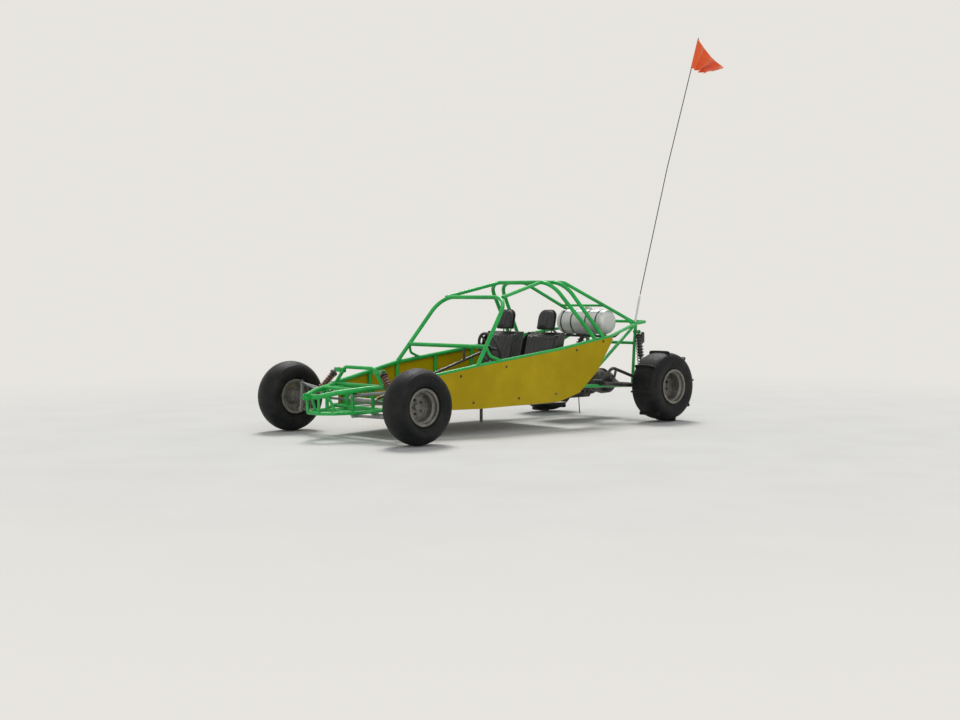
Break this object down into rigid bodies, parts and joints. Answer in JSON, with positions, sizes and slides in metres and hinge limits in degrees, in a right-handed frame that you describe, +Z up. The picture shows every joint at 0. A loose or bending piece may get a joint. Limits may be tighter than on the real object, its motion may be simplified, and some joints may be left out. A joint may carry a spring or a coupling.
{
  "type": "dune buggy",
  "caption": "Two-seat open tube-frame dune buggy: roll cage, flat side panels, coilover suspension, cross-mounted fuel tank, mid engine and a tall flag whip.",
  "frame": {"origin": "on the ground under the middle of the whole outline, the flag whip included", "axes": "+X is the driver's side, +Y is rearwards, +Z is up"},
  "size_m": [2.1, 5.385, 4.0066],
  "materials": {
    "frame_paint": "gloss",
    "panel_yellow": "satin",
    "sheet_metal": "brushed",
    "arm_steel": "satin",
    "spring_copper": "gloss",
    "black_metal": "satin",
    "rim": "satin",
    "tyre": "matte",
    "vinyl": "matte",
    "tank": "polished",
    "engine": "rough",
    "rod": "satin",
    "flag": "matte"
  },
  "bodies": {
    "chassis": {"side_frame_left": "frame_paint", "side_frame_right": "frame_paint", "side_panel_left": "panel_yellow", "side_panel_right": "panel_yellow", "floor_frame": "frame_paint", "floor_pan": "sheet_metal", "windshield_hoop": "frame_paint", "main_hoops": "frame_paint", "roof_rails": "frame_paint", "rear_frame": "frame_paint", "shock_tower": "frame_paint", "bumper_loop": "frame_paint", "nose_frame": "frame_paint", "front_arms": "arm_steel", "front_dampers": "black_metal", "front_springs": "spring_copper", "steering_rack": "sheet_metal", "rear_arms": "black_metal", "engine": "engine", "transaxle": "engine", "half_shafts": "black_metal", "rear_coilovers": "black_metal", "seat_frames": "black_metal", "seat_pads_left": "vinyl", "seat_pads_right": "vinyl", "fuel_tank": "tank", "tank_cradle": "black_metal", "steering_column": "black_metal", "pedals": "black_metal", "shift_lever": "black_metal", "tow_tab_front": "frame_paint", "tow_tab_rear": "frame_paint", "whip": "rod", "flag": "flag", "floor_strap": "rod"},
    "steering_wheel": {"steering_wheel": "vinyl"},
    "tie_rods": {"tie_rods": "arm_steel"},
    "knuckle_left": {"knuckle_left": "arm_steel"},
    "knuckle_right": {"knuckle_right": "arm_steel"},
    "wheel_front_left": {"rim_front_left": "rim", "tyre_front_left": "tyre"},
    "wheel_front_right": {"rim_front_right": "rim", "tyre_front_right": "tyre"},
    "wheel_rear_left": {"rim_rear_left": "rim", "tyre_rear_left": "tyre"},
    "wheel_rear_right": {"rim_rear_right": "rim", "tyre_rear_right": "tyre"}
  },
  "joints": [
    {"name": "steer_left", "type": "hinge", "parent": "chassis", "child": "knuckle_left", "pos_m": [0.742, -2.1855, 0.212], "axis": [0, 0.0665, 0.9978], "range_deg": [-28, 28]},
    {"name": "steer_right", "type": "hinge", "parent": "chassis", "child": "knuckle_right", "pos_m": [-0.742, -2.1855, 0.212], "axis": [0, 0.0665, 0.9978], "range_deg": [-28.5, 28.5]},
    {"name": "rack_slide", "type": "slide", "parent": "chassis", "child": "tie_rods", "axis": [1, 0, 0], "range_m": [-0.0665, 0.0665]},
    {"name": "wheel_turn", "type": "hinge", "parent": "chassis", "child": "steering_wheel", "pos_m": [0.28, -0.7575, 0.76], "axis": [0.1174, 0.9391, 0.3228], "range_deg": [-271, 271]},
    {"name": "spin_front_left", "type": "hinge", "parent": "knuckle_left", "child": "wheel_front_left", "pos_m": [0.915, -2.1775, 0.325], "axis": [1, 0, 0], "continuous": true},
    {"name": "spin_front_right", "type": "hinge", "parent": "knuckle_right", "child": "wheel_front_right", "pos_m": [-0.915, -2.1775, 0.325], "axis": [1, 0, 0], "continuous": true},
    {"name": "spin_rear_left", "type": "hinge", "parent": "chassis", "child": "wheel_rear_left", "pos_m": [0.81, 1.1225, 0.355], "axis": [1, 0, 0], "continuous": true},
    {"name": "spin_rear_right", "type": "hinge", "parent": "chassis", "child": "wheel_rear_right", "pos_m": [-0.81, 1.1225, 0.355], "axis": [1, 0, 0], "continuous": true}
  ],
  "couplings": [
    {"joint": "steer_right", "follows": "steer_left", "ratio": 1},
    {"joint": "rack_slide", "follows": "steer_left", "m_per_rad": -0.13449},
    {"joint": "wheel_turn", "follows": "steer_left", "ratio": 9.6429}
  ]
}
